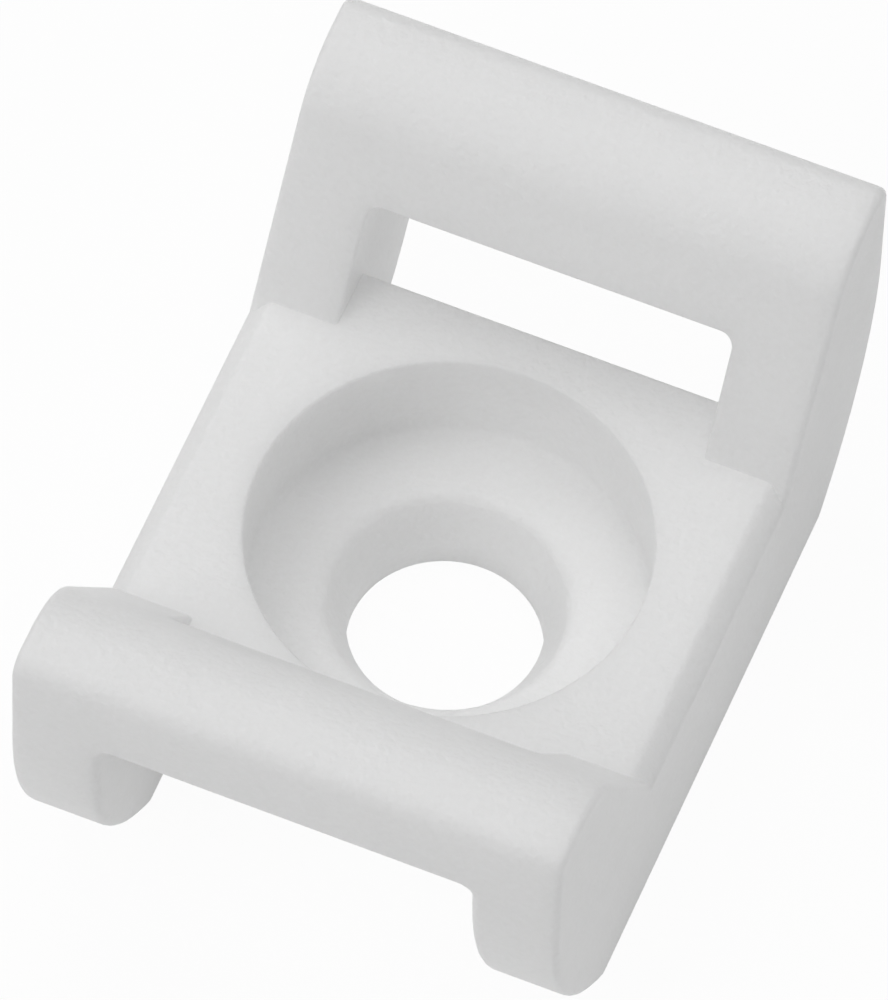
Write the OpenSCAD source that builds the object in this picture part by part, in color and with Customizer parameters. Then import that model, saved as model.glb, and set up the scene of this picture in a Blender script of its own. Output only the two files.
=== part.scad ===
// Screw-fixed cable tie mount, moulded in one piece.
// The tie runs under one end bar, across the deck over the screw head and out
// under the other bar; the bundle lies in the cradle between the two bars.
// Origin: centre of the base. X across the mount, Y along it, Z up. Millimetres.

/* [Body] */
// Width across the two side faces
body_w = 16; // [14:0.5:24]
// Length over the outer faces of the two end bars
body_l = 23.7; // [23:0.1:30]
// Height from the base to the crest of the end bars
body_h = 12; // [11.4:0.1:15]
// Length of the flat base between its two end corners
base_l = 16; // [15.6:0.1:18]
// Height above the base at which the outer faces stand upright
upright_h = 8; // [7:0.1:8.6]

/* [Deck] */
// Height of the deck above the base
deck_h = 5.9; // [5.4:0.1:6.2]
// Length of the deck between the feet of the two inner faces
deck_l = 10.2; // [9.8:0.1:10.8]
// Chamfer along the two long edges of the deck
deck_chamfer = 0.55; // [0.3:0.05:1]

/* [End bars] */
// Radius of the crest of each end bar on the side of the cradle
crest_r = 2.8; // [2:0.1:3.2]
// Width of the narrow flat along the top of each crest
crest_flat = 0.6; // [0.2:0.1:1]
// Radius of the crest where it turns into the outer face
outer_r = 0.7; // [0.4:0.1:1.2]
// Radius of the two upper corners of each end bar, seen from the end
corner_r = 0.4; // [0.2:0.1:0.6]
// Radius of the lower outer edge of each end bar, where the tie comes out
mouth_r = 0.5; // [0.3:0.1:0.7]

/* [Tie passages] */
// Width of each tie passage at its ceiling
passage_w = 10.8; // [8:0.1:12]
// Height of each tie passage above the deck
passage_h = 3.2; // [2.6:0.1:3.5]
// How far the deck reaches into each passage past the foot of the inner face
deck_lip = 1.9; // [1:0.1:2.4]
// Draft of the passage walls, so that the core draws out downwards
draft_deg = 1; // [0.5:0.25:2]
// Radius of the upper corners of each passage
passage_r = 0.6; // [0.3:0.1:1]

/* [Screw seat] */
// Diameter of the round recess for the screw head
head_d = 11.3; // [9:0.1:12]
// Depth of the recess below the deck
head_depth = 3.4; // [2.5:0.1:3.6]
// Diameter of the clearance hole for an M5 screw
bore_d = 5.5; // [4.5:0.1:6]
// Length of the straight part of the clearance hole, up from the base
bore_l = 1.2; // [0.8:0.1:1.6]
// Diameter of the funnel where it meets its rounded lip
funnel_d = 6.6; // [6.2:0.1:7.4]
// Radius of the rounded lip between the recess floor and the funnel
lip_r = 0.4; // [0.2:0.1:0.5]

/* [Hidden] */
$fn = 96;
eps = 0.01;                                  // overshoot of cutting shapes
nylon = "ivory";

// The two circles of a crest, seen from the side (Y across, Z up)
outer_y = body_l / 2 - outer_r;
outer_z = body_h - outer_r;
crest_y = outer_y - crest_flat;
crest_z = body_h - crest_r;
// Inner face: the straight line from its foot on the deck, tangent to the inner circle
foot_y = deck_l / 2;
foot_to_crest = norm([crest_y - foot_y, crest_z - deck_h]);
face_deg = atan2(crest_z - deck_h, crest_y - foot_y) + asin(crest_r / foot_to_crest);
tangent_y = crest_y - crest_r * sin(face_deg);
tangent_z = crest_z + crest_r * cos(face_deg);
// Rocker: the arc that rises from the base corner to the upright outer face
overhang = (body_l - base_l) / 2;
rocker_r = (overhang * overhang + upright_h * upright_h) / (2 * overhang);
rocker_y = body_l / 2 - rocker_r;
floor_z = deck_h - head_depth;
passage_top = deck_h + passage_h;
lip_end_y = foot_y + deck_lip;
reach = body_l + body_h;                     // longer than any cut needs to be

module both_ends() {
    children();
    mirror([0, 1, 0]) children();
}

module both_sides() {
    children();
    mirror([1, 0, 0]) children();
}

// Turns a side view drawn in Y and Z into a block of the given width across X
module across(width) {
    rotate([90, 0, 90])
        linear_extrude(width, center = true) children();
}

// A rectangle standing on the line Z = 0, with its two upper corners rounded
module round_topped(width, height, radius) {
    difference() {
        translate([-width / 2, 0]) square([width, height]);
        for (side = [-1, 1])
            translate([side * (width / 2 - radius), height - radius])
                difference() {
                    translate([side < 0 ? -radius - eps : 0, 0]) square(radius + eps);
                    circle(radius);
                }
    }
}

// Side view of one end above the rocker: deck, inner face and crest
module upper_profile() {
    polygon([
        [0, 0], [body_l / 2, 0], [body_l / 2, outer_z], [outer_y, outer_z], [outer_y, body_h],
        [crest_y, body_h], [crest_y, crest_z], [tangent_y, tangent_z], [foot_y, deck_h], [0, deck_h]
    ]);
    translate([outer_y, outer_z]) circle(outer_r);
    intersection() {
        translate([crest_y, crest_z]) circle(crest_r);
        translate([foot_y, crest_z]) square([crest_y - foot_y, crest_r + eps]);
    }
}

// Side view of one end below the crest: base, rocker and outer face
module lower_profile() {
    translate([rocker_y, upright_h]) circle(rocker_r);
    translate([0, upright_h]) square([body_l / 2, body_h]);
    square([base_l / 2 - overhang, body_h]);
}

// Side view of one end, from the middle of the mount to the outer face
module end_profile() {
    intersection() {
        upper_profile();
        lower_profile();
    }
}

module solid_body() {
    intersection() {
        across(body_w) {
            end_profile();
            mirror([1, 0]) end_profile();
        }
        rotate([90, 0, 0])
            linear_extrude(2 * reach, center = true)
                round_topped(body_w, body_h, corner_r);
    }
}

// Long chamfers of the deck, which end on the planes of the two inner faces
module deck_chamfers() {
    lean = deck_chamfer / tan(face_deg);
    both_sides()
        intersection() {
            translate([body_w / 2, 0, deck_h])
                rotate([0, 45, 0])
                    cube([deck_chamfer * sqrt(2), body_l, deck_chamfer * sqrt(2)], center = true);
            across(2 * body_w)
                polygon([
                    [lean - foot_y, deck_h - deck_chamfer], [foot_y - lean, deck_h - deck_chamfer],
                    [foot_y + lean, deck_h + deck_chamfer], [-foot_y - lean, deck_h + deck_chamfer]
                ]);
        }
}

// One tie passage: over the deck, under the end bar, and open down to the base
module tie_passage() {
    half = passage_w / 2;
    flare = (passage_top + eps) * tan(draft_deg);
    intersection() {
        // as seen from the end: walls leaning outwards towards the base, round upper corners
        rotate([90, 0, 0])
            translate([0, 0, -reach])
                linear_extrude(reach) {
                    polygon([
                        [-half - flare, -eps], [half + flare, -eps],
                        [half, passage_top - passage_r], [half - passage_r, passage_top],
                        [passage_r - half, passage_top], [-half, passage_top - passage_r]
                    ]);
                    for (side = [-1, 1])
                        translate([side * (half - passage_r), passage_top - passage_r])
                            circle(passage_r);
                }
        // as seen from the side: the block's end face leans back towards the base
        across(body_w)
            polygon([
                [foot_y - passage_h, deck_h], [lip_end_y, deck_h],
                [lip_end_y - deck_h * tan(2 * draft_deg), -eps],
                [reach, -eps], [reach, passage_top], [foot_y - passage_h, passage_top]
            ]);
    }
}

// Section of the screw seat: round recess, rounded lip, funnel and straight bore
module screw_seat() {
    rotate_extrude()
        difference() {
            polygon([
                [0, -eps], [bore_d / 2, -eps], [bore_d / 2, bore_l],
                [funnel_d / 2, floor_z - lip_r], [funnel_d / 2, floor_z - eps],
                [funnel_d / 2 + lip_r, floor_z - eps], [funnel_d / 2 + lip_r, floor_z],
                [head_d / 2, floor_z], [head_d / 2, deck_h + eps], [0, deck_h + eps]
            ]);
            translate([funnel_d / 2 + lip_r, floor_z - lip_r]) circle(lip_r);
        }
}

// Rounds the lower outer edge of an end bar over the width of the passage
module mouth_edge() {
    across(passage_w - 2 * passage_r)
        difference() {
            translate([body_l / 2 - mouth_r, passage_top - eps]) square([reach, mouth_r + eps]);
            translate([body_l / 2 - mouth_r, passage_top + mouth_r]) circle(mouth_r);
        }
}

module tie_mount() {
    color(nylon)
        difference() {
            solid_body();
            deck_chamfers();
            both_ends() tie_passage();
            both_ends() mouth_edge();
            screw_seat();
        }
}

tie_mount();
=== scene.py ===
# A screw-fixed cable tie mount moulded in natural nylon, on a pale floor.
import math

import bmesh
import bpy
from mathutils import Matrix, Vector


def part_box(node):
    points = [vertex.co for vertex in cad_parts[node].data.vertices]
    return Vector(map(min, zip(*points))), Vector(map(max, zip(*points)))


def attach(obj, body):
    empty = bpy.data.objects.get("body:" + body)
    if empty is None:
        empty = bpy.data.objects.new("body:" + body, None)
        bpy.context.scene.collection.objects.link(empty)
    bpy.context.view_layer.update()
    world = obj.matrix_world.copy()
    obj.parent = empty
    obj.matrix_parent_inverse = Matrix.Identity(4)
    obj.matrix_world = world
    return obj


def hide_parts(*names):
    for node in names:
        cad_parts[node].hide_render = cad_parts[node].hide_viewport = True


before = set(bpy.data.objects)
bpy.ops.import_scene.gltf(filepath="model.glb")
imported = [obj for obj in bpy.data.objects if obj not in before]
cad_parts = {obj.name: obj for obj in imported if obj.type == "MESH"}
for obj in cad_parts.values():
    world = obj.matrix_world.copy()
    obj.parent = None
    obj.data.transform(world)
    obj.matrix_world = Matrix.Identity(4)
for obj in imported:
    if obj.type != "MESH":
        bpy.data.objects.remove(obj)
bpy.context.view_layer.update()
lowCorner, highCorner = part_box("tie_mount")
mm = 0.001  # the forms below are drawn in millimetres and scaled at the end
touching = 1e-4  # drawn points this close are one
close = 1e-3  # and so are points left by the cuts
sliver = 0.01  # shorter edges are dropped
spare = 1  # how far a cutter goes past what it cuts
bodyWidth = (highCorner.x - lowCorner.x) / mm
bodyLength = (highCorner.y - lowCorner.y) / mm
bodyHeight = (highCorner.z - lowCorner.z) / mm
print("frame loaded, mount is", *(round(size, 2) for size in (bodyWidth, bodyLength, bodyHeight)))


# drawing in bmesh, in millimetres

def vertsIn(geometry):
    return [item for item in geometry if isinstance(item, bmesh.types.BMVert)]


def lineTo(mesh, vert, y, z):
    # pulls a vertex out to a new place in the same side view
    new = bmesh.ops.extrude_vert_indiv(mesh, verts=[vert])["verts"][0]
    new.co = (vert.co.x, y, z)
    return new


def arcFrom(mesh, vert, centreY, centreZ, degrees, steps):
    # swings a vertex about an axis along X and leaves the arc behind it
    turned = bmesh.ops.spin(
        mesh, geom=[vert], cent=(vert.co.x, centreY, centreZ), axis=(1, 0, 0),
        angle=math.radians(degrees), steps=steps, use_duplicate=False,
    )
    return vertsIn(turned["geom_last"])[0]


def blockFromOutline(mesh, width):
    # closes the side view and stretches it across X, centred
    face = bmesh.ops.contextual_create(mesh, geom=mesh.edges[:])["faces"]
    moved = bmesh.ops.extrude_face_region(mesh, geom=face)["geom"]
    bmesh.ops.translate(mesh, verts=vertsIn(moved), vec=(width, 0, 0))
    bmesh.ops.translate(mesh, verts=mesh.verts[:], vec=(-width / 2, 0, 0))
    bmesh.ops.recalc_face_normals(mesh, faces=mesh.faces[:])


def roundEdges(mesh, edges, radius, segments):
    bmesh.ops.bevel(
        mesh, geom=edges, offset=radius, offset_type="OFFSET", segments=segments,
        profile=0.5, affect="EDGES", material=-1, clamp_overlap=True,
    )


def turnAbout(mesh):
    # from the far or right side to the near or left one
    halfTurn = Matrix.Rotation(math.pi, 3, "Z")
    bmesh.ops.rotate(mesh, verts=mesh.verts[:], cent=(0, 0, 0), matrix=halfTurn)


def middleOf(edge):
    return (edge.verts[0].co + edge.verts[1].co) / 2


def runsAcross(edge):
    # true for an edge that lies along X
    along = edge.verts[0].co - edge.verts[1].co
    return max(abs(along.y), abs(along.z)) < touching


def objectFrom(mesh, name):
    # hands the finished bmesh over to a new object
    data = bpy.data.meshes.new(name)
    mesh.to_mesh(data)
    mesh.free()
    piece = bpy.data.objects.new(name, data)
    bpy.context.scene.collection.objects.link(piece)
    return piece


def applyModifiers(piece):
    # bakes the modifiers into the mesh, which stays where it is
    seen = piece.evaluated_get(bpy.context.evaluated_depsgraph_get())
    data = bpy.data.meshes.new_from_object(seen)
    piece.modifiers.clear()
    piece.data = data


mountForm = {
    "baseLength": 16.0,       # flat of the base between its end corners
    "uprightHeight": 8.0,     # where the outer faces stand upright
    "crestRadius": 2.8,       # of each end bar towards the cradle
    "crestFlat": 0.6,
    "outerRadius": 0.7,       # of each end bar towards the outer face
    "deckHeight": 5.9,
    "deckLength": 10.2,       # between the feet of the inner faces
    "deckChamfer": 0.55,
    "arcSteps": 28,           # of the rocker and of the crest
    "outerSteps": 10,
}
passageForm = {
    "width": 10.8,
    "height": 3.2,            # above the deck
    "lip": 1.9,               # the deck reaches this far past the inner face's foot
    "draft": 1.0,             # degrees
    "cornerRadius": 0.4,
    "cornerSteps": 6,
    "mouthRounding": 0.3,     # where the passage comes out through the outer face
    "reach": 4,               # of the cutter, past the outer face
}
seatForm = {
    "headDiameter": 11.3,
    "headDepth": 3.4,
    "boreDiameter": 5.5,
    "boreLength": 1.2,
    "funnelDiameter": 6.6,
    "lipRadius": 0.4,         # between the recess floor and the funnel
    "lipSteps": 8,
    "rimRadius": 0.08,        # between the deck and the recess wall
    "filletRadius": 0.25,     # between the recess wall and its floor
    "arcSteps": 6,            # of the rim and of the fillet
    "turnSteps": 144,
}
edgeForm = {
    "rounding": 0.12,         # every outward edge that nothing below names
    "rimRounding": 0.22,      # outline of the side faces
    "segments": 4,
    "sharperThan": 32,        # degrees
}

outerY = bodyLength / 2 - mountForm["outerRadius"]
outerZ = bodyHeight - mountForm["outerRadius"]
crestY = outerY - mountForm["crestFlat"]
crestZ = bodyHeight - mountForm["crestRadius"]
footY = mountForm["deckLength"] / 2
deckZ = mountForm["deckHeight"]
# the inner face runs from its foot tangent to the crest circle
footToCrest = math.hypot(crestY - footY, crestZ - deckZ)
faceAngle = math.atan2(crestZ - deckZ, crestY - footY)
faceAngle += math.asin(mountForm["crestRadius"] / footToCrest)


def makeBody():
    form = mountForm
    upright = form["uprightHeight"]
    overhang = (bodyLength - form["baseLength"]) / 2
    rockerRadius = (overhang ** 2 + upright ** 2) / (2 * overhang)
    rockerSweep = math.degrees(math.asin(upright / rockerRadius))
    rockerY = bodyLength / 2 - rockerRadius
    mesh = bmesh.new()
    vert = bmesh.ops.create_vert(mesh, co=(0, 0, 0))["vert"][0]
    vert = lineTo(mesh, vert, form["baseLength"] / 2, 0)
    vert = arcFrom(mesh, vert, rockerY, upright, rockerSweep, form["arcSteps"])
    vert = lineTo(mesh, vert, bodyLength / 2, outerZ)
    vert = arcFrom(mesh, vert, outerY, outerZ, 90, form["outerSteps"])
    vert = lineTo(mesh, vert, crestY, bodyHeight)
    vert = arcFrom(mesh, vert, crestY, crestZ, math.degrees(faceAngle), form["arcSteps"])
    vert = lineTo(mesh, vert, footY, deckZ)
    vert = lineTo(mesh, vert, 0, deckZ)
    drawn = mesh.verts[:] + mesh.edges[:]
    bmesh.ops.mirror(mesh, geom=drawn, axis="Y", merge_dist=touching)
    blockFromOutline(mesh, bodyWidth)
    # quartered, so that no face ever has to go round the screw seat
    for across in ((1, 0, 0), (0, 1, 0)):
        whole = mesh.verts[:] + mesh.edges[:] + mesh.faces[:]
        bmesh.ops.bisect_plane(mesh, geom=whole, plane_co=(0, 0, 0), plane_no=across)
    return mesh


def makeDeckChamfer(side):
    # what goes along one long edge of the deck; below it the ends follow the inner faces
    size = mountForm["deckChamfer"]
    lean = size / math.tan(faceAngle)
    mesh = bmesh.new()
    start = bmesh.ops.create_vert(mesh, co=(0, footY, deckZ + size))["vert"][0]
    vert = lineTo(mesh, start, -footY, deckZ + size)
    vert = lineTo(mesh, vert, -footY, deckZ)
    vert = lineTo(mesh, vert, lean - footY, deckZ - size)
    vert = lineTo(mesh, vert, footY - lean, deckZ - size)
    vert = lineTo(mesh, vert, footY, deckZ)
    mesh.edges.new((vert, start))
    blockFromOutline(mesh, 2 * size)
    for vert in mesh.verts:
        # the inner flank leans at 45 degrees across the edge
        vert.co.x = bodyWidth / 2 + (size if vert.co.x > 0 else deckZ - size - vert.co.z)
    if side < 0:
        turnAbout(mesh)
    return mesh


def makePassage(side):
    form = passageForm
    top = deckZ + form["height"]
    half = form["width"] / 2
    lipY = footY + form["lip"]
    lipBaseY = lipY - deckZ * math.tan(math.radians(2 * form["draft"]))
    endY = bodyLength / 2 + form["reach"]
    mesh = bmesh.new()
    start = bmesh.ops.create_vert(mesh, co=(0, footY, deckZ))["vert"][0]
    vert = lineTo(mesh, start, lipY, deckZ)
    vert = lineTo(mesh, vert, lipBaseY, -spare)
    vert = lineTo(mesh, vert, endY, -spare)
    vert = lineTo(mesh, vert, endY, top)
    vert = lineTo(mesh, vert, footY - form["height"], top)  # in the open cradle
    mesh.edges.new((vert, start))
    blockFromOutline(mesh, form["width"])
    ceiling = [e for e in mesh.edges if middleOf(e).z > top - close and not runsAcross(e)]
    roundEdges(mesh, ceiling, form["cornerRadius"], form["cornerSteps"])
    for vert in mesh.verts:
        # the walls lean outwards towards the base
        flare = (top - vert.co.z) * math.tan(math.radians(form["draft"]))
        vert.co.x *= 1 + max(0, flare) / half
    if side < 0:
        turnAbout(mesh)
    return mesh


def makeSeat():
    form = seatForm
    lip, rim, fillet = form["lipRadius"], form["rimRadius"], form["filletRadius"]
    steps = form["arcSteps"]
    floorZ = deckZ - form["headDepth"]
    headR = form["headDiameter"] / 2
    boreR = form["boreDiameter"] / 2
    funnelR = form["funnelDiameter"] / 2
    mesh = bmesh.new()
    # drawn in the YZ view like the rest, then spun about Z
    vert = bmesh.ops.create_vert(mesh, co=(0, 0, -spare))["vert"][0]
    vert = lineTo(mesh, vert, boreR, -spare)
    vert = lineTo(mesh, vert, boreR, form["boreLength"])
    vert = lineTo(mesh, vert, funnelR, floorZ - lip)
    vert = arcFrom(mesh, vert, funnelR + lip, floorZ - lip, -90, form["lipSteps"])
    vert = lineTo(mesh, vert, headR - fillet, floorZ)
    vert = arcFrom(mesh, vert, headR - fillet, floorZ + fillet, 90, steps)
    vert = lineTo(mesh, vert, headR, deckZ - rim)
    vert = arcFrom(mesh, vert, headR + rim, deckZ - rim, -90, steps)
    vert = lineTo(mesh, vert, headR + rim, deckZ + spare)
    lineTo(mesh, vert, 0, deckZ + spare)
    bmesh.ops.spin(
        mesh, geom=mesh.verts[:] + mesh.edges[:], cent=(0, 0, 0), axis=(0, 0, 1),
        angle=2 * math.pi, steps=form["turnSteps"], use_merge=True, use_duplicate=False,
    )
    bmesh.ops.remove_doubles(mesh, verts=mesh.verts[:], dist=touching)
    bmesh.ops.recalc_face_normals(mesh, faces=mesh.faces[:])
    return mesh


def joinDeck(mesh):
    # the cuts leave flat seams along the feet of the inner faces
    flat = 1e-3  # radians
    bmesh.ops.remove_doubles(mesh, verts=mesh.verts[:], dist=close)
    seams = [
        e for e in mesh.edges
        if e.calc_face_angle(math.pi) < flat and runsAcross(e)
        and abs(abs(middleOf(e).y) - footY) < close
    ]
    bmesh.ops.dissolve_edges(mesh, edges=seams, use_verts=True)
    bmesh.ops.dissolve_degenerate(mesh, dist=sliver, edges=mesh.edges[:])
    mesh.normal_update()


def roundingAt(edge):
    # radius in millimetres of an outward edge, by where it lies
    middle = middleOf(edge)
    underChamfer = abs(middle.z - deckZ + mountForm["deckChamfer"]) < close
    if abs(middle.x) > bodyWidth / 2 - close and not underChamfer:
        return edgeForm["rimRounding"]
    if abs(middle.y) > mountForm["baseLength"] / 2 + sliver:
        return passageForm["mouthRounding"]
    return edgeForm["rounding"]


def markRoundings(mesh):
    # the Bevel modifier reads its widths, in millimetres, from this layer
    radius = mesh.edges.layers.float.new("bevel_weight_edge")
    limit = math.radians(edgeForm["sharperThan"])
    for edge in mesh.edges:
        if edge.is_convex and edge.calc_face_angle(0) > limit:
            edge[radius] = roundingAt(edge)


def markCreases(piece):
    # inward corners stay crisp under smooth shading
    mesh = bmesh.new()
    mesh.from_mesh(piece.data)
    for face in mesh.faces:
        face.smooth = True
    limit = math.radians(edgeForm["sharperThan"])
    for edge in mesh.edges:
        edge.smooth = edge.calc_face_angle(0) < limit
    mesh.to_mesh(piece.data)
    mesh.free()


def makeMount():
    mount = objectFrom(makeBody(), "mount_body")
    cutters = [
        objectFrom(makePassage(1), "cut_far"),
        objectFrom(makePassage(-1), "cut_near"),
        objectFrom(makeDeckChamfer(1), "cut_right"),
        objectFrom(makeDeckChamfer(-1), "cut_left"),
        objectFrom(makeSeat(), "cut_seat"),
    ]
    for cutter in cutters:
        cut = mount.modifiers.new(cutter.name, "BOOLEAN")
        cut.operation = "DIFFERENCE"
        cut.solver = "EXACT"
        cut.object = cutter
    applyModifiers(mount)
    for cutter in cutters:
        bpy.data.objects.remove(cutter)
    mesh = bmesh.new()
    mesh.from_mesh(mount.data)
    joinDeck(mesh)
    markRoundings(mesh)
    bmesh.ops.scale(mesh, vec=(mm, mm, mm), verts=mesh.verts[:])
    mesh.to_mesh(mount.data)
    mesh.free()
    softening = mount.modifiers.new("soft_edges", "BEVEL")
    softening.width = mm
    softening.segments = edgeForm["segments"]
    softening.limit_method = "WEIGHT"
    softening.use_clamp_overlap = False
    applyModifiers(mount)
    markCreases(mount)
    evenShading = mount.modifiers.new("even_shading", "WEIGHTED_NORMAL")
    evenShading.keep_sharp = True
    applyModifiers(mount)
    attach(mount, "root")
    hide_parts("tie_mount")
    print("mount made,", len(mount.data.polygons), "faces")
    return mount


mount = makeMount()


class Flow:
    # a value on its way through the nodes; arithmetic on it adds Math nodes
    def __init__(self, tree, socket):
        self.tree, self.socket = tree, socket

    def maths(self, operation, first, second):
        return self.tree.add("ShaderNodeMath", {"operation": operation}, {0: first, 1: second})

    def __add__(self, other):
        return self.maths("ADD", self, other)

    def __mul__(self, other):
        return self.maths("MULTIPLY", self, other)

    __radd__ = __add__
    __rmul__ = __mul__


class Nodes:
    # the nodes of one material, or of the world
    def __init__(self, owner):
        owner.use_nodes = True
        self.tree = owner.node_tree
        self.tree.nodes.clear()

    def add(self, kind, settings, sockets, out=0):
        node = self.tree.nodes.new(kind)
        for name, value in settings.items():
            setattr(node, name, value)
        for name, value in sockets.items():
            if isinstance(value, Flow):
                self.tree.links.new(value.socket, node.inputs[name])
            else:
                node.inputs[name].default_value = value
        return Flow(self, node.outputs[out]) if len(node.outputs) else node


nylonLook = {
    "colour": (0.985, 0.985, 0.982),
    "darkest": -0.07,         # how far grain and clouds shift the colour
    "lightest": 0.035,
    "roughness": 0.46,
    "refraction": 1.53,
    "seeThrough": 0.75,       # share of the light that travels inside the nylon
    "seeThroughDepth": 0.0021,
    "seeThroughTint": (1.0, 1.0, 1.0),
    "grain": {"Scale": 5200, "Detail": 1.0},  # per metre
    "cloud": {"Scale": 700, "Detail": 0.0},
    "grainShare": 0.6,
    "grainHeight": 0.00007,
}


def shifted(colour, shift):
    return tuple(min(1, channel * (1 + shift)) for channel in colour) + (1,)


def makeNylon():
    look = nylonLook
    material = bpy.data.materials.new("natural_nylon")
    nodes = Nodes(material)
    place = nodes.add("ShaderNodeTexCoord", {}, {}, "Object")
    grain = nodes.add("ShaderNodeTexNoise", {}, {"Vector": place, **look["grain"]})
    cloud = nodes.add("ShaderNodeTexNoise", {}, {"Vector": place, **look["cloud"]})
    shade = look["grainShare"] * grain + (1 - look["grainShare"]) * cloud
    colour = nodes.add("ShaderNodeMix", {"data_type": "RGBA"}, {
        "Factor": shade,
        "A": shifted(look["colour"], look["darkest"]),
        "B": shifted(look["colour"], look["lightest"]),
    }, "Result")
    bump = nodes.add("ShaderNodeBump", {}, {"Distance": look["grainHeight"], "Height": shade})
    skin = nodes.add("ShaderNodeBsdfPrincipled", {"subsurface_method": "RANDOM_WALK"}, {
        "Base Color": colour,
        "Roughness": look["roughness"],
        "Normal": bump,
        "IOR": look["refraction"],
        "Subsurface Weight": look["seeThrough"],
        "Subsurface Radius": look["seeThroughTint"],
        "Subsurface Scale": look["seeThroughDepth"],
    })
    nodes.add("ShaderNodeOutputMaterial", {}, {"Surface": skin})
    return material


mount.data.materials.clear()
mount.data.materials.append(makeNylon())
print("nylon made")


plainWhite = (1, 1, 1, 1)
floorLook = {
    "size": 1.6,
    "gap": 0.00003,           # under the base, so that the two faces don't fight
    "colour": (0.9, 0.9, 0.9, 1),
    "whiteShare": 0.95,       # how white the floor shows
    "glow": 0.15,             # how white it is to everything else
}


def makeFloor():
    mesh = bmesh.new()
    bmesh.ops.create_grid(mesh, x_segments=1, y_segments=1, size=floorLook["size"] / 2)
    bmesh.ops.translate(mesh, verts=mesh.verts[:], vec=(0, 0, -floorLook["gap"]))
    floor = objectFrom(mesh, "floor")
    material = bpy.data.materials.new("pale_floor")
    nodes = Nodes(material)
    paint = nodes.add("ShaderNodeBsdfDiffuse", {}, {"Color": floorLook["colour"]})
    white = nodes.add("ShaderNodeEmission", {}, {"Color": plainWhite, "Strength": 1.0})
    seen, glossy, through = (
        nodes.add("ShaderNodeLightPath", {}, {}, kind)
        for kind in ("Is Camera Ray", "Is Glossy Ray", "Is Transmission Ray")
    )
    seen = seen + glossy + through
    share = seen * (floorLook["whiteShare"] - floorLook["glow"]) + floorLook["glow"]
    mixed = nodes.add("ShaderNodeMixShader", {}, {0: share, 1: paint, 2: white})
    # clear from underneath, which leaves the base in view
    under = nodes.add("ShaderNodeNewGeometry", {}, {}, "Backfacing")
    clear = nodes.add("ShaderNodeBsdfTransparent", {}, {})
    sided = nodes.add("ShaderNodeMixShader", {}, {0: under, 1: mixed, 2: clear})
    nodes.add("ShaderNodeOutputMaterial", {}, {"Surface": sided})
    floor.data.materials.append(material)


makeFloor()
print("floor made")

lampValues = {  # metres and watts
    "top": {"from": (0, 0.05, 0.90), "size": 0.9, "power": 2.7},
    "leftBack": {"from": (-0.45, 0.45, 0.60), "size": 0.45, "power": 1.3},
    "leftFront": {"from": (-0.45, -0.45, 0.60), "size": 0.45, "power": 1.2},
    "front": {"from": (-0.20, -0.80, 0.50), "size": 0.9, "power": 1.0},
    "right": {"from": (0.75, 0.30, 0.35), "size": 0.5, "power": 0.6},
}


def makeLamp(name, values):
    data = bpy.data.lights.new(name, "AREA")
    data.shape = "SQUARE"
    data.size = values["size"]
    data.energy = values["power"]
    lamp = bpy.data.objects.new(name, data)
    lamp.location = values["from"]
    lamp.rotation_euler = (-Vector(values["from"])).to_track_quat("-Z", "Y").to_euler()
    bpy.context.scene.collection.objects.link(lamp)


for lampName, lampParts in lampValues.items():
    makeLamp(lampName, lampParts)

skyStrength = 0.20  # on the mount; the camera sees plain white


def makeSky():
    world = bpy.data.worlds.new("studio")
    bpy.context.scene.world = world
    nodes = Nodes(world)
    seen = nodes.add("ShaderNodeLightPath", {}, {}, "Is Camera Ray")
    strength = seen * (1 - skyStrength) + skyStrength
    sky = nodes.add("ShaderNodeBackground", {}, {"Color": plainWhite, "Strength": strength})
    nodes.add("ShaderNodeOutputWorld", {}, {"Surface": sky})


makeSky()
print("lamps and sky made")

cameraValues = {
    "azimuth": 20.44,         # degrees, as are the next two
    "elevation": 58.68,
    "roll": 2.354,
    "distance": 0.450,
    "focalLength": 663.6,     # millimetres, as is the next one
    "sensorWidth": 36,
    "nearest": 0.01,
    "aim": (0.0, 0.0, 0.004),
    "shiftAim": (-0.000101, 0.002015),  # from there to the middle of the view, right and up
}


def makeCamera():
    values = cameraValues
    azimuth, elevation, roll = (
        math.radians(values[name]) for name in ("azimuth", "elevation", "roll")
    )
    right = Vector((math.cos(azimuth), math.sin(azimuth), 0))
    back = Vector((
        math.sin(azimuth) * math.cos(elevation),
        -math.cos(azimuth) * math.cos(elevation),
        math.sin(elevation),
    ))
    up = back.cross(right)
    rolledRight = math.cos(roll) * right + math.sin(roll) * up
    rolledUp = math.cos(roll) * up - math.sin(roll) * right
    shiftRight, shiftUp = values["shiftAim"]
    middle = Vector(values["aim"]) + shiftRight * rolledRight + shiftUp * rolledUp
    data = bpy.data.cameras.new("camera")
    data.lens = values["focalLength"]
    data.sensor_fit = "HORIZONTAL"
    data.sensor_width = values["sensorWidth"]
    data.clip_start = values["nearest"]
    camera = bpy.data.objects.new("camera", data)
    turn = Matrix((rolledRight, rolledUp, back)).transposed().to_4x4()
    camera.matrix_world = Matrix.Translation(middle + values["distance"] * back) @ turn
    bpy.context.scene.collection.objects.link(camera)
    bpy.context.scene.camera = camera


makeCamera()
bpy.context.scene.view_settings.view_transform = "Standard"
print("stage set")
